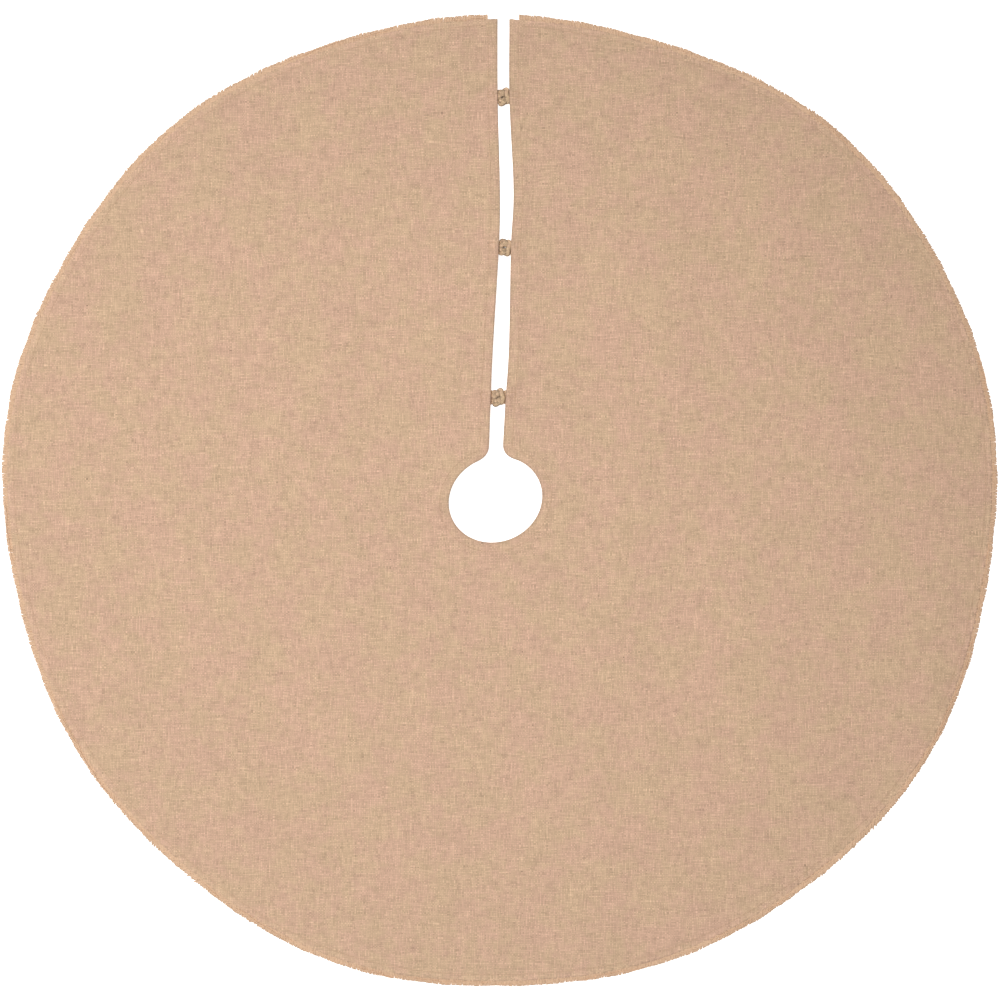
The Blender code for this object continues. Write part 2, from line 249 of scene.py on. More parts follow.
def slit_edge(side):
    """One edge of the slit from the rim to the hole; side is -1 on the left and 1 on the right."""
    stations = [(middle + side * gap / 2, height) for height, middle, gap in SLIT_STATIONS]
    curve = smooth_curve(stations, 12) + CENTRE
    rim_angle = np.array([math.atan2(*(curve[0] - CENTRE)[::-1])])
    corner = rim_point(rim_angle, FRINGE_LENGTH)[0]
    return np.vstack((corner, curve[curve[:, 1] < corner[1] - 2]))


def slit_side(height, side):
    """Where the slit's edge lies across the slit, at a distance up it."""
    heights, middles, gaps = zip(*reversed(SLIT_STATIONS))
    return CENTRE[0] + np.interp(height, heights, middles) + side * np.interp(height, heights, gaps) / 2


def hole_edge():
    """The hole's edge from its left shoulder round to its right one, anticlockwise."""
    tilt = math.radians(HOLE_TILT)
    turns = np.radians(np.linspace(*HOLE_ARC, HOLE_STATIONS))
    along, across = HOLE_HALF_AXES[0] * np.cos(turns), HOLE_HALF_AXES[1] * np.sin(turns)
    x = along * math.cos(tilt) - across * math.sin(tilt)
    y = along * math.sin(tilt) + across * math.cos(tilt)
    return np.column_stack((x, y)) + HOLE_CENTRE + CENTRE


def shoulder(slit_end, hole_end):
    """The rounded corner between the slit and the hole, without its two end points."""
    corner = np.array((slit_end[0], SHOULDER_HEIGHT + CENTRE[1]))
    shares = np.linspace(0, 1, 10)[1:-1]
    return [slit_end * (1 - t) ** 2 + corner * 2 * t * (1 - t) + hole_end * t**2 for t in shares]


def inner_edge():
    """The whole inner edge: down the slit's left side, round the hole and up the slit's right side."""
    left, hole, right = slit_edge(-1), hole_edge(), slit_edge(1)
    left_corner = shoulder(left[-1], hole[0])
    right_corner = shoulder(right[-1], hole[-1])
    line = np.vstack((left, left_corner, hole, right_corner[::-1], right[::-1]))
    return even_steps(line, EDGE_STEP)


INNER_EDGE = inner_edge()


def distance_to_inner_edge(points):
    """Shortest distance from each point to the inner edge."""
    starts, runs = INNER_EDGE[:-1], np.diff(INNER_EDGE, axis=0)
    lengths = (runs**2).sum(1)
    found = np.empty(len(points))
    for first in range(0, len(points), 4000):
        block = points[first:first + 4000, None, :] - starts
        share = np.clip((block * runs).sum(2) / lengths, 0, 1)
        found[first:first + 4000] = np.linalg.norm(block - runs * share[..., None], axis=2).min(1)
    return found


def inward(line):
    """Unit normals of the inner edge that point into the cloth."""
    runs = np.gradient(line, axis=0)
    return np.column_stack((runs[:, 1], -runs[:, 0])) / np.linalg.norm(runs, axis=1)[:, None]


INWARD = inward(INNER_EDGE)


def inset_edge(inset):
    """The inner edge moved into the cloth; points that would cross over at a corner are dropped."""
    moved = INNER_EDGE + INWARD * inset
    return moved[distance_to_inner_edge(moved) > inset * 0.985]


def inside(outline, points):
    """Which points lie inside a closed outline."""
    starts, ends = outline, np.roll(outline, -1, axis=0)
    found = np.zeros(len(points), bool)
    for (ax, ay), (bx, by) in zip(starts, ends):
        if ay == by:
            continue
        spans = (ay > points[:, 1]) != (by > points[:, 1])
        found ^= spans & (ax + (points[:, 1] - ay) * (bx - ax) / (by - ay) > points[:, 0])
    return found


# ---- how high the cloth lies ----
def smooth_step(share):
    """Rises from 0 to 1 with no corner at either end."""
    share = np.clip(share, 0, 1)
    return share * share * (3 - 2 * share)


def tie_zones():
    """The raised rectangles at the ties: middle, half sizes, width of the ramp round it, and lift."""
    zones = []
    for _, height in TIES:
        for side in (-1, 1):
            edge = slit_side(height, side)
            for length, half_width, ramp, lift in (
                (TAIL_LENGTH + 2, TAIL_HALF_WIDTH, TAIL_RAMP, TAIL_LIFT),
                (KNOT_DEPTH, KNOT_HALF_WIDTH, KNOT_RAMP, KNOT_LIFT),
            ):
                middle = (edge + side * (length - ZONE_OVERHANG) / 2, height + CENTRE[1])
                zones.append((middle, ((length + ZONE_OVERHANG) / 2, half_width), ramp, lift))
    return zones


TIE_ZONES = tie_zones()


def wave_set():
    """Directions, wave numbers, phases and heights of the cloth's shallow undulations."""
    lengths = random.uniform(*WAVE_LENGTHS, WAVES)
    bearings = random.uniform(0, math.pi, WAVES)
    numbers = math.tau / lengths
    heights = lengths / lengths.mean() * WAVE_HEIGHT / math.sqrt(WAVES)
    return direction(bearings) * numbers[:, None], random.uniform(0, math.tau, WAVES), heights


WAVE_NUMBERS, WAVE_PHASES, WAVE_HEIGHTS = wave_set()


def wave_lift(points):
    """Shallow undulations of a cloth that was folded and then spread out."""
    total = np.zeros(len(points))
    for number, phase, height in zip(WAVE_NUMBERS, WAVE_PHASES, WAVE_HEIGHTS):
        total += height * np.sin(points @ number + phase)
    return np.maximum(total + WAVE_HEIGHT, 0)


def tie_lift(points):
    """Rise of the cloth over the ties' legs and knots."""
    total = np.zeros(len(points))
    for middle, half, ramp, lift in TIE_ZONES:
        outside = (np.abs(points - middle) - half).max(1)
        total += lift * smooth_step(1 - outside / ramp)
    return total


def hem_lift(points):
    """Rise of the top layer over the hem."""
    outside = distance_to_inner_edge(points) - HEM_WIDTH
    return 2 * ROLL_RADIUS * smooth_step(1 - outside / HEM_RAMP)


def ground_lift(points):
    """Height of the middle of the lower layer of cloth."""
    return CLOTH / 2 + tie_lift(points) + wave_lift(points)


def gathers(points):
    """Small folds in the top layer where a knot pulls on the edge, along the slit."""
    total = np.zeros(len(points))
    inset = distance_to_inner_edge(points)
    for number, (_, height) in enumerate(TIES):
        beside = np.exp(-((points[:, 1] - height - CENTRE[1]) / GATHER_HALF_LENGTH) ** 2)
        right = points[:, 0] > slit_side(height, 0)
        phase = number * 1.9 + right * 2.3
        fold = np.cos(inset * math.tau / GATHER_WIDTH + phase)
        fading = np.exp(-(inset / GATHER_REACH) ** 2) * smooth_step(inset / 3)
        total += GATHER_HEIGHT * fold * beside * fading
    return total


def cloth_height(points):
    """Height of the middle of the top layer of cloth."""
    return ground_lift(points) + hem_lift(points) + gathers(points)


# ---- meshes ----
def make_object(name, points, faces, finish, rest=None, shade=None):
    """A smooth-shaded object from points in millimetres.

    rest is where the weave is laid out, and shade is painted light and shade that makes the finish darker
    or lighter at a point.
    """
    mesh = bpy.data.meshes.new(name)
    points = np.asarray(points, float) * METRES
    mesh.from_pydata(points.tolist(), [], faces)
    mesh.shade_smooth()
    mesh.materials.append(finish)
    laid = points if rest is None else np.asarray(rest, float) * METRES
    attribute = mesh.attributes.new("rest", "FLOAT_VECTOR", "POINT")
    attribute.data.foreach_set("vector", laid.astype(np.float32).ravel())
    painted_light_and_shade_values = np.ones(len(points), np.float32) if shade is None else np.asarray(shade, np.float32)
    painted_light_and_shade_attribute = mesh.attributes.new("shade", "FLOAT", "POINT")
    painted_light_and_shade_attribute.data.foreach_set("value", painted_light_and_shade_values)
    made = bpy.data.objects.new(name, mesh)
    bpy.context.scene.collection.objects.link(made)
    return made


def thicken(piece, thickness):
    """Gives a sheet its thickness, half on each side."""
    solid = piece.modifiers.new("thickness", "SOLIDIFY")
    solid.thickness = thickness * METRES
    solid.offset = 0.0
    solid.use_even_offset = True
    bpy.context.view_layer.objects.active = piece
    with bpy.context.temp_override(object=piece):
        bpy.ops.object.modifier_apply(modifier=solid.name)


def tube_faces(rings, sides, first=0):
    """Faces of a closed tube of rings, with both ends capped."""
    faces = []
    for ring in range(rings - 1):
        start = first + ring * sides
        for k in range(sides):
            after = (k + 1) % sides
            faces.append((start + k, start + after, start + sides + after, start + sides + k))
    last = first + (rings - 1) * sides
    faces.append(tuple(range(first + sides - 1, first - 1, -1)))
    faces.append(tuple(range(last, last + sides)))
    return faces


def tube_points(line, widths, depths, sides, turn=0.0):
    """Rings of a tube of elliptical section along a line that mostly lies flat."""
    forward = np.gradient(line, axis=0)
    across = np.cross((0.0, 0.0, 1.0), forward)
    across /= np.maximum(np.linalg.norm(across, axis=1), 1e-6)[:, None]
    upward = np.cross(forward, across)
    upward /= np.linalg.norm(upward, axis=1)[:, None]
    turns = turn + np.arange(sides) * math.tau / sides
    out = across[:, None] * (np.cos(turns) * np.reshape(widths, (-1, 1)) / 2)[..., None]
    up = upward[:, None] * (np.sin(turns) * np.reshape(depths, (-1, 1)) / 2)[..., None]
    return (line[:, None] + out + up).reshape(-1, 3)


class Bundle:
    """Many small tubes that end up in one mesh."""

    def __init__(self):
        self.points, self.faces, self.rest = [], [], []

    def add(self, line, widths, depths, sides, rest=None):
        first = sum(len(block) for block in self.points)
        block = tube_points(line, widths, depths, sides)
        self.points.append(block)
        self.rest.append(block if rest is None else rest)
        self.faces += tube_faces(len(line), sides, first)

    def make(self, name, finish):
        return make_object(name, np.vstack(self.points), self.faces, finish, np.vstack(self.rest))


# ---- shader nodes ----
class Graph:
    """Short names for adding nodes to one material."""

    def __init__(self, name):
        self.material = bpy.data.materials.new(name)
        self.material.use_nodes = True
        self.tree = self.material.node_tree
        self.shader = self.tree.nodes["Principled BSDF"]

    def node(self, kind, **settings):
        made = self.tree.nodes.new(kind)
        for key, value in settings.items():
            setattr(made, key, value)
        return made

    def feed(self, socket, value):
        if isinstance(value, bpy.types.NodeSocket):
            self.tree.links.new(value, socket)
        else:
            socket.default_value = value

    def math(self, operation, *values):
        made = self.node("ShaderNodeMath", operation=operation)
        for socket, value in zip(made.inputs, values):
            self.feed(socket, value)
        return made.outputs[0]

    def combine(self, x, y, z):
        made = self.node("ShaderNodeCombineXYZ")
        for socket, value in zip(made.inputs, (x, y, z)):
            self.feed(socket, value)
        return made.outputs[0]

    def noise(self, vector, scale, detail=2.0, roughness=0.5):
        """A noise value from 0 to 1, about 0.5."""
        made = self.node("ShaderNodeTexNoise")
        self.feed(made.inputs["Vector"], vector)
        made.inputs["Scale"].default_value = scale
        made.inputs["Detail"].default_value = detail
        made.inputs["Roughness"].default_value = roughness
        return made.outputs["Fac"]

    def ramp(self, value, low, high, start=0.0, end=1.0):
        """Goes from start to end as the value goes from low to high."""
        made = self.node("ShaderNodeMapRange", interpolation_type="SMOOTHSTEP")
        for socket, given in zip(made.inputs, (value, low, high, start, end)):
            self.feed(socket, given)
        return made.outputs["Result"]

    def choose(self, factor, first, second):
        """The first value where the factor is 0, and the second where it is 1."""
        made = self.node("ShaderNodeMix", data_type="FLOAT")
        for number, value in ((0, factor), (2, first), (3, second)):
            self.feed(made.inputs[number], value)
        return made.outputs[0]

    def blend_colours(self, factor, first, second, way="MIX"):
        made = self.node("ShaderNodeMix", data_type="RGBA", blend_type=way)
        for number, value in ((0, factor), (6, first), (7, second)):
            self.feed(made.inputs[number], value)
        return made.outputs[2]

    def grey(self, value):
        """The same value in all three channels."""
        return self.combine(value, value, value)

    def about_one(self, value, amount):
        """Turns a noise value about 0.5 into a factor about 1."""
        return self.math("MULTIPLY_ADD", self.math("SUBTRACT", value, 0.5), amount, 1.0)

    def surface(self, colour, relief, strength, depth):
        """Feeds the colour and the bumps to the shader."""
        bumps = self.node("ShaderNodeBump")
        bumps.inputs["Strength"].default_value = strength
        bumps.inputs["Distance"].default_value = depth * METRES
        self.feed(bumps.inputs["Height"], relief)
        self.feed(self.shader.inputs["Base Color"], colour)
        self.feed(self.shader.inputs["Normal"], bumps.outputs[0])

    def dials(self, values):
        """Sets the shader's own uniform values."""
        for name, value in values.items():
            self.shader.inputs[name].default_value = value

    def attribute(self, name, output):
        made = self.node("ShaderNodeAttribute", attribute_type="GEOMETRY", attribute_name=name)
        return made.outputs[output]

    def rest(self):
        """Where a point lies on the flat cloth, in metres."""
        return self.attribute("rest", "Vector")


def yarn(graph, across, along, seed):
    """One set of yarns: each yarn's tone along its length, and its height across."""
    number = graph.math("FLOOR", across)
    place = graph.combine(graph.math("MULTIPLY", number, 17.31), along, seed)
    speck_place = graph.combine(graph.math("MULTIPLY", number, 9.73), along, seed + 5)
    slow = graph.noise(place, TONE_SCALE, 2.0, 0.55)
    slubs = graph.ramp(graph.noise(place, SLUB_SCALE, 1.0), 0.66, 0.78)
    specks = graph.ramp(graph.noise(speck_place, SPECK_SCALE, 0.0), 0.76, 0.86)
    profile = graph.math("SINE", graph.math("MULTIPLY", graph.math("FRACT", across), math.pi))
    return number, slow, slubs, specks, profile


def uneven_spacing(graph, across, along, seed):
    """Shifts whole yarns sideways, so that some lie close together and others far apart."""
    place = graph.combine(across, graph.math("MULTIPLY", along, 0.1), seed)
    return graph.math("MULTIPLY", graph.noise(place, SPACING_SCALE, 1.0), SPACING_DRIFT)


def drift(graph, across, along, place, seed):
    """How far yarns stray sideways: a slow sway of the whole weave, and their uneven spacing."""
    sway = graph.math("MULTIPLY", graph.noise(place, DRIFT_SCALE, 3.0), DRIFT)
    return graph.math("ADD", sway, uneven_spacing(graph, across, along, seed))


def weave(graph, contrast):
    """Tone about 1, with painted shade in the gaps between yarns, and height of a plain weave of uneven
    jute yarns.
    """
    rest = graph.rest()
    split = graph.node("ShaderNodeSeparateXYZ")
    graph.feed(split.inputs[0], rest)
    x, y = split.outputs[0], split.outputs[1]
    per_metre = 1 / (YARN_PITCH * METRES)
    u = graph.math("MULTIPLY_ADD", x, per_metre, drift(graph, x, y, graph.combine(x, y, 1.0), 3.0))
    v = graph.math("MULTIPLY_ADD", y, per_metre, drift(graph, y, x, graph.combine(x, y, 7.0), 11.0))
    warp, warp_tone, warp_slub, warp_speck, warp_profile = yarn(graph, u, y, 2.0)
    weft, weft_tone, weft_slub, weft_speck, weft_profile = yarn(graph, v, x, 31.0)
    parity = graph.math("MODULO", graph.math("ADD", graph.math("ADD", warp, weft), 4000.0), 2.0)
    on_top = graph.math("GREATER_THAN", parity, 0.5)
    tone = graph.choose(on_top, warp_tone, weft_tone)
    slub = graph.choose(on_top, warp_slub, weft_slub)
    speck = graph.choose(on_top, warp_speck, weft_speck)
    profile = graph.choose(on_top, warp_profile, weft_profile)
    other = graph.choose(on_top, weft_profile, warp_profile)
    height = graph.math("MULTIPLY", profile, graph.math("MULTIPLY_ADD", other, 0.45, 0.55))
    height = graph.math("MULTIPLY_ADD", slub, 0.3, height)
    shade = graph.about_one(tone, contrast)
    shade = graph.math("MULTIPLY_ADD", slub, 0.09, shade)
    shade = graph.math("MULTIPLY_ADD", speck, -0.22, shade)
    # painted shade: darker where the yarns dip, in the gaps between them
    gaps = graph.ramp(height, 0.1, 0.7, 0.84, 1.04)
    return graph.math("MULTIPLY", shade, gaps), height


def tinted(colour, factors):
    """A colour with each channel multiplied."""
    return tuple(c * k for c, k in zip(colour, factors)) + (1.0,)


def burlap(name, colour, contrast=1.02, patches=0.07, bump=0.45):
    """Woven jute: yarn tones, slubs, specks and patches that lean to pink or yellow, with painted shade
    between the yarns and the painted light and shade carried by the shade attribute.
    """
    graph = Graph(name)
    rest = graph.rest()
    tone, height = weave(graph, contrast)
    fibres = graph.noise(rest, FIBRE_SCALE, 3.0, 0.7)
    broad = graph.noise(rest, 11.0, 4.0, 0.6)
    for factor in (
        graph.about_one(broad, patches),
        # the shade attribute: painted light and shade at the rim, the turned edge and the ties' strand
        # edges
        graph.attribute("shade", "Fac"),
        graph.about_one(fibres, FIBRE_CONTRAST),
    ):
        tone = graph.math("MULTIPLY", tone, factor)
    hue = graph.ramp(graph.noise(rest, 18.0, 6.0, 0.75), 0.38, 0.62)
    pink = tinted(colour, (1.016, 0.976, 1.014))
    yellow = tinted(colour, (0.984, 1.018, 0.966))
    base = graph.blend_colours(hue, pink, yellow)
    shaded = graph.blend_colours(1.0, base, graph.grey(tone), "MULTIPLY")
    graph.surface(shaded, graph.math("MULTIPLY_ADD", fibres, 0.25, height), bump, 0.4)
    graph.dials({"Roughness": 0.93, "Specular IOR Level": 0.15})
    graph.dials({"Sheen Weight": 0.12, "Sheen Roughness": 0.6})
    return graph.material


def twisted(name, colour, spread=0.5, twist=900.0):
    """Spun yarn or thread: fine slanting fibres, and a tone that changes from piece to piece."""
    graph = Graph(name)
    rest = graph.rest()
    broad = graph.noise(rest, 260.0, 3.0, 0.7)
    fine = graph.noise(rest, twist, 2.0, 0.6)
    grain = graph.math("SUBTRACT", fine, 0.5)
    tone = graph.math("MULTIPLY_ADD", grain, spread / 2, graph.about_one(broad, spread))
    shaded = graph.blend_colours(1.0, (*colour, 1.0), graph.grey(tone), "MULTIPLY")
    graph.surface(shaded, fine, 0.5, 0.2)
    graph.dials({"Roughness": 0.9, "Specular IOR Level": 0.2})
    return graph.material


BURLAP = burlap("burlap_cloth", (0.612, 0.409, 0.279))
HEM_BURLAP = burlap("burlap_hem", (0.58, 0.385, 0.26))
# the yarn ends' own jute tone, made paler with painted light where light shines through the thin yarns
FRINGE_YARN_WITH_PAINTED_LIGHT = twisted("jute_yarn_ends_with_painted_light", (0.70, 0.47, 0.31))
TIE_BURLAP = burlap("burlap_tie", (0.60, 0.415, 0.27), contrast=1.6, patches=0.5)
THREAD = twisted("sewing_thread", (0.56, 0.385, 0.255), spread=0.3)


# ---- the cloth ----
def rim_span(margin):
    """Bearings of the rim's two ends beside the slit, the second one a whole turn on."""
    left_x = slit_side(SKIRT_RADIUS, -1) - margin - CENTRE[0]
    right_x = slit_side(SKIRT_RADIUS, 1) + margin - CENTRE[0]
    start = math.pi / 2 + math.asin(-left_x / SKIRT_RADIUS)
    return start, math.pi / 2 - math.asin(right_x / SKIRT_RADIUS) + math.tau


def rim_line(step):
    """The cloth's frayed edge, anticlockwise from the slit's left side to its right side."""
    start, end = rim_span(0.0)
    count = round(SKIRT_RADIUS * (end - start) / step)
    angles = np.linspace(start, end, count)[1:-1]
    line = rim_point(angles, FRINGE_LENGTH)
    return line + direction(angles) * random.normal(0, 0.35, len(line))[:, None]


def row_heights():
    """Grid rows up the skirt: closer where the cloth folds and where ties lie under it."""
    rows, y = [], -SKIRT_RADIUS - 10
    while y < SKIRT_RADIUS + 10:
        rows.append(y)
        near_tie = any(abs(y - CENTRE[1] - height) < TAIL_HALF_WIDTH + TAIL_RAMP + 2 for _, height in TIES)
        in_fold = -3 < y < FOLD_END + 2
        y += FOLD_STEP if in_fold else TIE_STEP if near_tie else GRID_STEP
    return rows


def cloth_points(rim):
    """Points inside the cloth: ladders along its edges and a grid over the rest."""
    columns = np.arange(-SKIRT_RADIUS - 10, SKIRT_RADIUS + 10, GRID_STEP)
    grid = np.array([(x, y) for y in row_heights() for x in columns])
    grid = grid[rim_inset(grid) > FRINGE_LENGTH + RIM_LADDER[-1] + 3]
    grid = grid[distance_to_inner_edge(grid) > LADDER[-1] + 2]
    ladders = [inset_edge(inset + ROLL_RADIUS + CLOTH / 2) for inset in LADDER]
    start, end = rim_span(30.0)
    angles = np.linspace(start, end, len(rim) // 2)
    ladders += [rim_point(angles, FRINGE_LENGTH + inset) for inset in RIM_LADDER]
    return np.vstack([grid] + ladders)


def triangulate(turned):
    """Corners and triangles of the top layer, out to the frayed edge and in to the turned one."""
    rim = rim_line(RIM_STEP)
    outline = np.vstack((rim, turned[::-1]))
    loose = cloth_points(rim)
    loose = loose[inside(outline, loose)]
    points = [tuple(p) for p in np.vstack((outline, loose))]
    edges = [(i, (i + 1) % len(outline)) for i in range(len(outline))]
    corners, _, faces, *_ = delaunay_2d_cdt(points, edges, [], 1, 1e-4)
    corners = np.array([tuple(c) for c in corners])
    faces = np.array([tuple(f) for f in faces if len(f) == 3])
    used, faces = np.unique(faces, return_inverse=True)
    return corners[used], faces.reshape(-1, 3)


def roll_faces(edge, first, rows):
    """Faces of the rolled edge, from the top layer's own edge points down through the added rows."""
    count = len(edge)
    rings = [edge] + [list(range(first + k * count, first + (k + 1) * count)) for k in range(rows)]
    pairs = zip(rings, rings[1:])
    return [(a[i], a[i + 1], b[i + 1], b[i]) for a, b in pairs for i in range(count - 1)]


def make_cloth():
    """The whole top layer and the roll that turns its inner edge under."""
    turned = INNER_EDGE + INWARD * (ROLL_RADIUS + CLOTH / 2)
    corners, faces = triangulate(turned)
    flat = np.column_stack((corners, cloth_height(corners)))
    roll = rolled_edge(turned)
    edge = [int(np.argmin(((corners - p) ** 2).sum(1))) for p in turned]
    faces = faces.tolist() + roll_faces(edge, len(flat), len(roll))
    # the roll that turns the edge under carries painted shade all over
    shade = np.concatenate((painted_edge_light_and_shade(corners), np.full(len(turned) * len(roll), TURN_PAINTED_SHADE)))
    cloth = make_object("skirt_cloth", np.vstack([flat] + roll), faces, BURLAP, shade=shade)
    thicken(cloth, CLOTH)
    return cloth


def painted_edge_light_and_shade(points):
    """Painted light on the rim, paler where light shines through the thin frayed cloth, and painted shade
    where the edge turns under.
    """
    painted_light = RIM_PAINTED_LIGHT * smooth_step(1 - (rim_inset(points) - FRINGE_LENGTH) / RIM_PAINTED_LIGHT_WIDTH)
    painted_shade = (1 - TURN_PAINTED_SHADE) * smooth_step(1 - distance_to_inner_edge(points) / TURN_PAINTED_SHADE_WIDTH)
    return 1 + painted_light - painted_shade


def rolled_edge(turned):
    """Rows of points from the top layer's edge round to the layer below it."""
    low = ground_lift(turned)
    rows = []
    for turn in np.radians((36, 72, 108, 144, 180)):
        across = turned - INWARD * ROLL_RADIUS * math.sin(turn)
        rows.append(np.column_stack((across, low + ROLL_RADIUS * (1 + math.cos(turn)))))
    return rows


def hem_depths():
    """How far in the hem reaches from each point of the inner edge; less at the shoulders."""
    depths = np.full(len(INNER_EDGE), HEM_WIDTH)
    for depth in np.arange(HEM_WIDTH, 1.0, -0.5):
        reached = INNER_EDGE + INWARD * depth
        crossed = distance_to_inner_edge(reached) < depth * 0.97
        depths = np.where(crossed, np.minimum(depths, depth), depths)
    return depths


def make_hem(name, keep):
    """The cloth turned under along part of the inner edge."""
    kept = np.nonzero(keep(INNER_EDGE))[0]
    shares = np.linspace(0, 1, 7)
    start = ROLL_RADIUS + CLOTH / 2
    depths = hem_depths()[kept, None] * shares + start * (1 - shares)
    rows = [INNER_EDGE[kept] + INWARD[kept] * depths[:, k:k + 1] for k in range(len(shares))]
    points = np.vstack([np.column_stack((row, ground_lift(row))) for row in rows])
    n = len(kept)
    faces = [(k * n + i, (k + 1) * n + i, (k + 1) * n + i + 1, k * n + i + 1)
             for k in range(len(shares) - 1) for i in range(n - 1) if kept[i + 1] == kept[i] + 1]
    hem = make_object(name, points, faces, HEM_BURLAP)
    thicken(hem, CLOTH * 0.98)
    return hem


def left_of_slit(points):
    return points[:, 0] < slit_side(points[:, 1], 0)


# ---- the frayed rim ----
def rim_crossings(axis):
    """Bearing and outward direction of each yarn along an axis, where it leaves the cloth."""
    for place in np.arange(-SKIRT_RADIUS, SKIRT_RADIUS, YARN_PITCH):
        for sense in (-1, 1):
            angle = estimate_bearing(place, axis, sense)
            if angle is None:
                continue
            yarn_way = np.zeros(2)
            yarn_way[axis] = sense
            yield angle, yarn_way


def estimate_bearing(place, axis, sense):
    """Bearing at which a line at a distance from the middle meets the rim."""
    radius = SKIRT_RADIUS - FRINGE_LENGTH
    for _ in range(3):
        if abs(place) >= radius:
            return None
        along = sense * math.sqrt(radius**2 - place**2)
        x, y = (along, place) if axis == 0 else (place, along)
        angle = math.atan2(y, x)
        radius = float(rim_radius(np.array([angle]))[0]) - FRINGE_LENGTH
    return angle


def in_rim_gap(angle):
    """Whether a bearing falls on the hem ends or the slit, where the rim has no fringe."""
    start, end = rim_span(FRINGE_MARGIN)
    return end - math.tau < angle % math.tau < start


def trim_length(angle):
    """How long the yarn ends were left at a bearing: a slow wobble of the scissors."""
    return 1 + 0.06 * math.sin(37 * angle + 1.0) + 0.05 * math.sin(83 * angle + 4.0)


def yarn_end(angle, yarn_way):
    """A frayed yarn end: its centre line and widths, bent a little and tapering to loose fibres."""
    outward = direction(np.array([angle]))[0]
    slant = float(outward @ yarn_way)
    root = rim_point(np.array([angle]), FRINGE_LENGTH)[0]
    length = FRINGE_LENGTH * trim_length(angle) * random.uniform(0.93, 1.02)
    length = min(length / slant, FRINGE_LENGTH * 1.5)
    stations = np.array((-YARN_BURIED, 0.0, 0.3 * length, 0.65 * length, length))
    sideways = np.array((-yarn_way[1], yarn_way[0]))
    curl = random.normal(0, 0.08) * length
    lean = outward * length * 0.12 * (1 - slant)
    drop = np.clip(stations / length, 0, 1)
    share = drop[:, None]
    line = root + yarn_way * stations[:, None] + sideways * curl * share**2 + lean * share
    height = cloth_height(root[None])[0]
    z = np.maximum(height * (1 - drop) + (0.45 + random.uniform(0, 0.5)) * drop, 0.4)
    z[1:] += random.uniform(-0.1, 0.25)
    widths = YARN_PITCH * random.uniform(0.95, 1.3) * np.array((0.8, 0.95, 1.0, 1.05, 0.85))
    return np.column_stack((line, z)), widths


def make_fringe(name, keep):
    """The yarn ends along part of the rim."""
    bundle = Bundle()
    for axis in (0, 1):
        for angle, yarn_way in rim_crossings(axis):
            outward = direction(np.array([angle]))[0]
            if in_rim_gap(angle) or outward @ yarn_way < LEAST_SLANT:
                continue
            line, widths = yarn_end(angle, yarn_way)
            if keep(line[1, 0], line[1, 1]):
                bundle.add(line, widths, np.minimum(widths, 0.75), YARN_SIDES)
                for _ in range(random.integers(0, 4)):
                    add_hair(bundle, line)
    for line in LOOSE_YARNS:
        kept = line[[keep(x, y) for x, y, _ in line]]
        if len(kept) > 4:
            widths = YARN_PITCH * 0.62 * np.minimum(1, np.linspace(0.25, 6, len(kept)))
            widths = np.minimum(widths, widths[::-1])
            bundle.add(kept, widths, widths * 0.8, YARN_SIDES)
    return bundle.make(name, FRINGE_YARN_WITH_PAINTED_LIGHT)


def loose_yarns():
    """Yarns that came free of the weave and lie along the rim, on top of the yarn ends."""
    start, end = rim_span(FRINGE_MARGIN + 3)
    lines = []
    for middle, reach, inset in random.uniform((start, 15, 1.5), (end, 55, 5.0), (LOOSE_COUNT, 3)):
        half_span = reach / SKIRT_RADIUS
        angles = np.linspace(max(middle - half_span, start), min(middle + half_span, end), 24)
        wander = inset + 0.8 * np.sin(angles * 47 + inset * 9) + 0.5 * np.sin(angles * 131 + inset * 5)
        flat = CENTRE + direction(angles) * (rim_radius(angles) - wander)[:, None]
        root = rim_point(angles, FRINGE_LENGTH)
        lines.append(np.column_stack((flat, cloth_height(root) + 0.7 - 0.06 * (FRINGE_LENGTH - wander))))
    return lines


LOOSE_YARNS = loose_yarns()


def add_hair(bundle, line):
    """A loose fibre that leaves a yarn end."""
    start = line[random.integers(1, 4)]
    way = line[-1] - line[0]
    way = way / np.linalg.norm(way) + random.normal(0, 0.45, 3) * (1, 1, 0.3)
    length = random.uniform(1.5, 4.0)
    hair = start + way * np.array((0, 0.4, 0.75, 1.0))[:, None] * length
    hair[:, :2] += random.normal(0, 0.25, (4, 2)) * np.array((0, 1, 1, 1))[:, None]
    hair[:, 2] = np.maximum(hair[:, 2], 0.2)
    bundle.add(hair, (0.22, 0.2, 0.16, 0.08), (0.2, 0.18, 0.14, 0.08), HAIR_SIDES)


# ---- stitching ----
def make_stitches(name, line, keep):
    """A row of short stitches that dip into the cloth at both ends."""
    even = even_steps(line, STITCH_LENGTH)
    bundle = Bundle()
    for start, end in zip(even, even[1:]):
        if not keep(*((start + end) / 2)):
            continue
        way = (end - start) / np.linalg.norm(end - start)
        shares = np.array((0.0, 0.15, 0.5, 0.85, 1.0))
        length = STITCH_LENGTH - STITCH_GAP
        slant = np.array((-way[1], way[0])) * random.normal(0, 0.12)
        flat = start + way * (STITCH_GAP / 2 + shares[:, None] * length) + slant * (shares[:, None] - 0.5)
        rise = np.array((-0.35, 0.0, 0.14, 0.0, -0.35))
        z = cloth_height(flat) + CLOTH / 2 + rise
        bundle.add(np.column_stack((flat, z)), 2 * THREAD_RADIUS, 2 * THREAD_RADIUS, YARN_SIDES)
    return bundle.make(name, THREAD)


def rim_stitch_line():
    start, end = rim_span(HEM_STITCH_INSET + 4)
    return rim_point(np.linspace(start, end, 1200), FRINGE_LENGTH + RIM_STITCH_INSET)


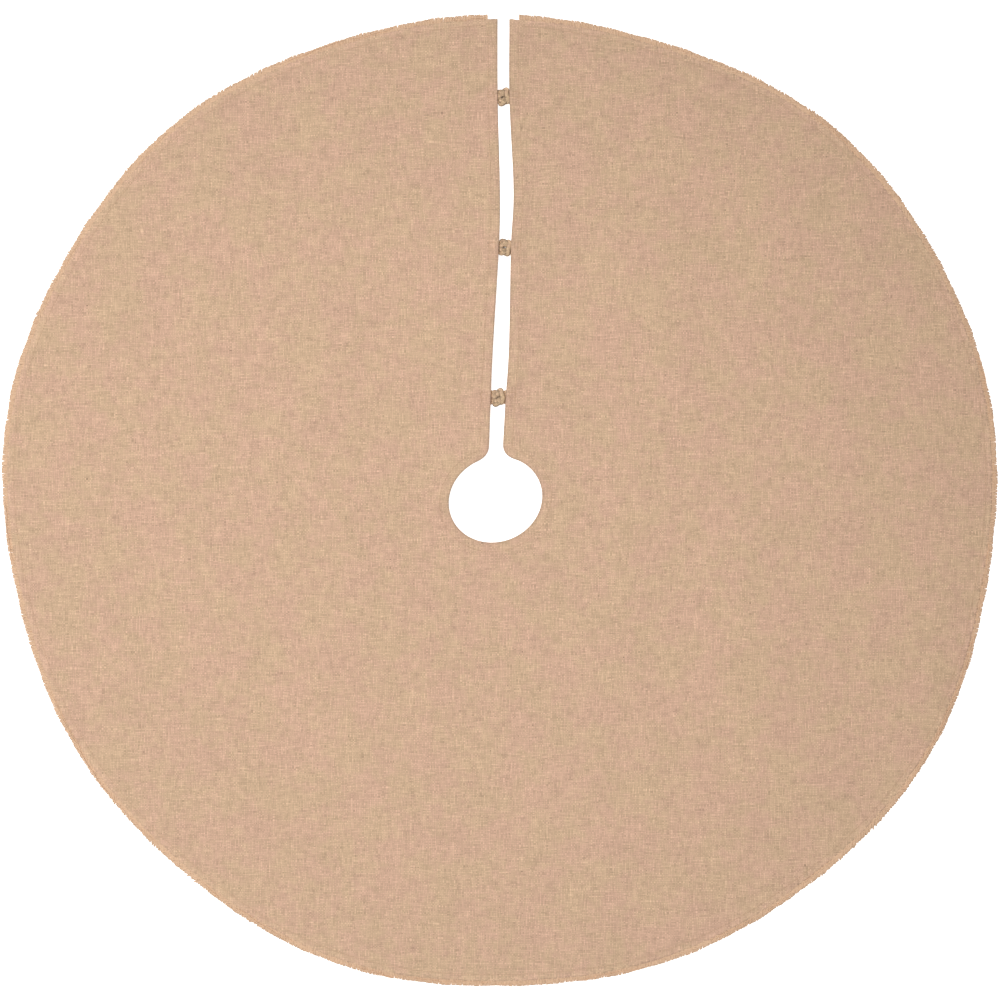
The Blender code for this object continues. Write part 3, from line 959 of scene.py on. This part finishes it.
def make_tack(name, height, side):
    """The small rectangle of stitches that holds a tie's sewn end, on top of the hem."""
    x = slit_side(height, side) + side * TACK_INSET
    y = height + CENTRE[1] + LEG_SPREAD
    half = np.array(TACK_SIZE) / 2
    corners = np.array(((-1, -1), (1, -1), (1, 1), (-1, 1), (-1, -1))) * half
    corners = corners + random.normal(0, 0.25, corners.shape) + (x, y)
    corners[-1] = corners[0]
    bundle = Bundle()
    for start, end in zip(corners, corners[1:]):
        for shares in tack_shares(np.linalg.norm(end - start)):
            flat = start + (end - start) * shares[:, None]
            z = cloth_height(flat) + CLOTH / 2 + np.array((-0.3, 0.1, 0.22, 0.1, -0.3))
            bundle.add(np.column_stack((flat, z)), 0.62, 0.6, YARN_SIDES)
    return bundle.make(name, THREAD)


def tack_shares(length):
    """The stretches of a side of the rectangle that its stitches cover."""
    count = max(2, round(length / TACK_STITCH))
    for k in range(count):
        yield (k + 0.08 + 0.84 * np.array((0, 0.2, 0.5, 0.8, 1.0))) / count


# ---- ties ----
def tie_stations(height, side):
    """A tie's centre line and width: sewn end, through the reef knot, back out and along its tail."""
    over = -side  # the left tie's loop lies over the right tie's legs
    half_gap = (slit_side(height, 1) - slit_side(height, -1)) / 2
    knot_height = 0.15 + STRAND_THICKNESS / 2 + KNOT_SWING
    crest = knot_height + over * KNOT_SWING
    trough = knot_height - over * KNOT_SWING
    exit_height = LEG_HEIGHT + (0.9 if over > 0 else 0.0)
    reach = LOOP_REACH
    inner_half = [
        (half_gap + 0.8, FAN_SPREAD, exit_height, FAN_WIDTH),
        (reach + 1.0, LEG_SPREAD, crest - over * 0.15, STRAND_WIDTH),
        (reach - 0.6, LEG_SPREAD + 0.2, crest, STRAND_WIDTH),
        (0.0, CROSSING_SPREAD, trough, CROSSING_WIDTH),
        (0.7 - reach, LOOP_SPREAD, knot_height + over * 0.5 * KNOT_SWING, STRAND_WIDTH),
        (-reach, LEG_SPREAD + 1.2, crest, STRAND_WIDTH),
        (-reach - 0.2, 0.0, crest, STRAND_WIDTH),
    ]
    landing = (half_gap + LANDING, LEG_SPREAD, LEG_HEIGHT, LEG_WIDTH)
    sewn_end = (half_gap + SEWN_LENGTH, LEG_SPREAD, LEG_HEIGHT, LEG_WIDTH)
    tail_end = (half_gap + TAIL_LENGTH, LEG_SPREAD, LEG_HEIGHT, LEG_WIDTH)
    upper = [sewn_end, landing] + inner_half
    lower = [(x, -y, z, width) for x, y, z, width in [tail_end, landing] + inner_half[:-1]]
    middle_x, middle_y = slit_side(height, 0), height + CENTRE[1]
    return [(middle_x + side * x, middle_y + y, z, width) for x, y, z, width in upper + lower[::-1]]


def pulled_askew(line, height):
    """The same line with the knot slanted and bent a little, in its own way at each knot."""
    offset = line[:, :2] - (slit_side(height, 0), height + CENTRE[1])
    amount = smooth_step((LOOP_REACH + KNOT_MARGIN - np.abs(offset[:, 0])) / KNOT_EASE)
    sideways = ASKEW * np.sin(0.33 * offset[:, 1] + 0.02 * height)
    upward = KNOT_SLANT * offset[:, 0] + ASKEW * np.sin(0.42 * offset[:, 0] + 0.05 * height)
    bent = line.copy()
    bent[:, 0] += amount * sideways
    bent[:, 1] += amount * upward
    return bent


def tie_frames(centres):
    """Across and upward directions at each point of a tie's centre line."""
    forward = np.gradient(centres, axis=0)
    across = np.cross((0.0, 0.0, 1.0), forward)
    across /= np.linalg.norm(across, axis=1)[:, None]
    upward = np.cross(forward, across)
    upward /= np.linalg.norm(upward, axis=1)[:, None]
    return across, upward


def strap_section(width, thickness, along, creases):
    """Offsets across and upward round a folded strap, with creases that wind along it."""
    flat = np.sign(np.sin(TIE_TURNS)) * np.abs(np.sin(TIE_TURNS)) ** 0.7
    ripple = 1 + 0.07 * np.cos(5 * TIE_TURNS + creases[0] + along * 0.15)
    ripple += 0.05 * np.cos(9 * TIE_TURNS + creases[1] - along * 0.4)
    return np.cos(TIE_TURNS) * ripple * width / 2, flat * ripple * thickness / 2


def make_tie(name, height, side):
    """A strip of burlap folded to a narrow band and swept through the knot."""
    line = pulled_askew(smooth_curve(tie_stations(height, side), STATION_STEPS), height)
    centres, widths = line[:, :3], line[:, 3]
    across, upward = tie_frames(centres)
    steps = np.linalg.norm(np.diff(centres, axis=0), axis=1)
    along = np.concatenate(([0], np.cumsum(steps)))
    from_middle = np.abs(centres[:, 0] - slit_side(height, 0))
    in_knot = smooth_step((LOOP_REACH + KNOT_MARGIN - from_middle) / KNOT_EASE)
    # painted shade along the strands' folded edges, in and near the knot only
    shaded = smooth_step((LOOP_REACH + PAINTED_SHADE_MARGIN - from_middle) / KNOT_EASE)
    thicknesses = STRAND_THICKNESS + (KNOT_THICKNESS - STRAND_THICKNESS) * in_knot
    edges = np.abs(np.cos(TIE_TURNS)) ** 3
    around = TIE_TURNS / math.pi - 1
    creases = random.uniform(0, math.tau, 3)
    points, rest, shade = [], [], []
    for i, centre in enumerate(centres):
        out, up = strap_section(widths[i], thicknesses[i], along[i], creases)
        points.append(centre + across[i] * out[:, None] + upward[i] * up[:, None])
        shade.append(1 - STRAND_EDGE_PAINTED_SHADE * shaded[i] * edges)
        girth = around * (widths[i] + STRAND_THICKNESS)
        rest.append(np.column_stack((np.full(TIE_SIDES, along[i]), girth, np.zeros(TIE_SIDES))))
    points = np.maximum(np.vstack(points), (-1e9, -1e9, 0.1))
    faces = tube_faces(len(centres), TIE_SIDES)
    return make_object(name, points, faces, TIE_BURLAP, np.vstack(rest), np.concatenate(shade))


# ---- floor, light and camera ----
def make_floor():
    graph = Graph("pale_floor")
    graph.dials({"Base Color": (0.95, 0.95, 0.95, 1.0), "Roughness": 1.0, "Specular IOR Level": 0.0})
    graph.dials({"Emission Color": (1.0, 1.0, 1.0, 1.0), "Emission Strength": 0.6})
    size, level = FLOOR_HALF_SIZE, FLOOR_LEVEL
    corners = [(-size, -size, level), (size, -size, level), (size, size, level), (-size, size, level)]
    floor = make_object("floor", corners, [(0, 1, 2, 3)], graph.material)


def make_light(name, kind, place, target, energy, **settings):
    """A light at a place in metres that shines at a target."""
    data = bpy.data.lights.new(name, kind)
    data.energy = energy
    for key, value in settings.items():
        setattr(data, key, value)
    light = bpy.data.objects.new(name, data)
    light.location = place
    light.rotation_mode = "QUATERNION"
    light.rotation_quaternion = (Vector(target) - Vector(place)).to_track_quat("-Z", "Y")
    bpy.context.scene.collection.objects.link(light)


def make_lights():
    world = bpy.data.worlds.new("soft_room")
    bpy.context.scene.world = world
    world.use_nodes = True
    background = world.node_tree.nodes["Background"]
    background.inputs["Color"].default_value = (1.0, 1.0, 1.0, 1.0)
    background.inputs["Strength"].default_value = 0.5
    make_light("window", "AREA", (-1.9, 0.3, 4.8), (0.0, 0.0, 0.0), 90.0, shape="SQUARE", size=2.0)
    make_light("lamp", "SPOT", (-1.0, 0.6, 5.0), (-0.19, -0.13, 0.0), 330.0,
               spot_size=math.radians(28), spot_blend=0.9, shadow_soft_size=0.4)


def make_camera():
    data = bpy.data.cameras.new("camera")
    data.sensor_width = SENSOR
    data.lens = SENSOR * CAMERA_HEIGHT / VIEW_WIDTH
    data.dof.use_dof = False
    camera = bpy.data.objects.new("camera", data)
    x, y = CENTRE * METRES + VIEW_OFFSET
    camera.location = (x, y, CAMERA_HEIGHT)
    bpy.context.scene.collection.objects.link(camera)
    bpy.context.scene.camera = camera
    bpy.context.scene.view_settings.view_transform = "Standard"


# ---- the pieces on their bodies ----
BACK, FRONT = "back_half", "front_half"


def across_fold(piece, slot, *nodes):
    """Bakes a piece's placement into its mesh, in place of the nodes."""
    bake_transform(piece)
    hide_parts(*nodes)
    return piece


def riding(piece, body, slot, *nodes):
    """Lets a piece ride on one body, in place of the nodes."""
    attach(piece, body)
    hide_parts(*nodes)
    return piece


def make_skirt():
    cloth = across_fold(make_cloth(), "burlap", "panel_back", "panel_front_left", "panel_front_right")
    hole = make_hem("hole_hem_turned", lambda p: p[:, 1] < HEM_END + 1)
    across_fold(hole, "hem_burlap", "hole_hem_back", "hole_hem_front_left", "hole_hem_front_right")
    trimmings = [hole]
    for side_name, side in (("left", -1), ("right", 1)):
        def beside(p, side=side):
            return (p[:, 1] > HEM_END - 1) & (p[:, 1] < HEM_TOP) & (left_of_slit(p) == (side < 0))
        hem = make_hem(f"slit_hem_{side_name}_turned", beside)
        trimmings.append(riding(hem, FRONT, "hem_burlap", f"slit_hem_{side_name}"))
    trimmings += make_rim()
    trimmings += make_hem_stitches()


def make_rim():
    """The fringe and the row of stitches behind it, in three stretches each."""
    made = []
    stretches = (
        ("back", BACK, lambda x, y: y < 0),
        ("front_left", FRONT, lambda x, y: y >= 0 and x < slit_side(y, 0)),
        ("front_right", FRONT, lambda x, y: y >= 0 and x >= slit_side(y, 0)),
    )
    line = rim_stitch_line()
    for stretch, body, keep in stretches:
        fringe = make_fringe(f"fringe_{stretch}", keep)
        stitches = make_stitches(f"rim_stitches_{stretch}", line, keep)
        if body == BACK:
            riding(fringe, BACK, "fringe_yarn", f"rim_fringe_{stretch}")
            riding(stitches, BACK, "sewing_thread", f"rim_stitch_{stretch}")
        else:
            across_fold(fringe, "fringe_yarn", f"rim_fringe_{stretch}")
            across_fold(stitches, "sewing_thread", f"rim_stitch_{stretch}")
        made += [fringe, stitches]
    return made


def make_hem_stitches():
    line = inset_edge(HEM_STITCH_INSET)
    hole = make_stitches("hole_stitches", line, lambda x, y: y < HEM_END)
    nodes = [f"hole_stitch_{stretch}" for stretch in ("back", "front_left", "front_right")]
    across_fold(hole, "sewing_thread", *nodes)
    made = [hole]
    for side_name, on_left in (("left", True), ("right", False)):
        def keep(x, y, on_left=on_left):
            return HEM_END <= y < HEM_TOP and (x < slit_side(y, 0)) == on_left
        stitches = make_stitches(f"slit_stitches_{side_name}", line, keep)
        made.append(riding(stitches, FRONT, "sewing_thread", f"slit_stitch_{side_name}"))
    return made


def make_ties():
    for tie_name, height in TIES:
        for side_name, side in (("left", -1), ("right", 1)):
            name = f"tie_{tie_name}_{side_name}"
            riding(make_tie(f"{name}_strip", height, side), FRONT, "tie_burlap", name)
            tack = f"tie_tack_{tie_name}_{side_name}"
            riding(make_tack(f"{tack}_bar", height, side), FRONT, "sewing_thread", tack)


make_camera()
make_lights()
make_floor()
make_skirt()
make_ties()
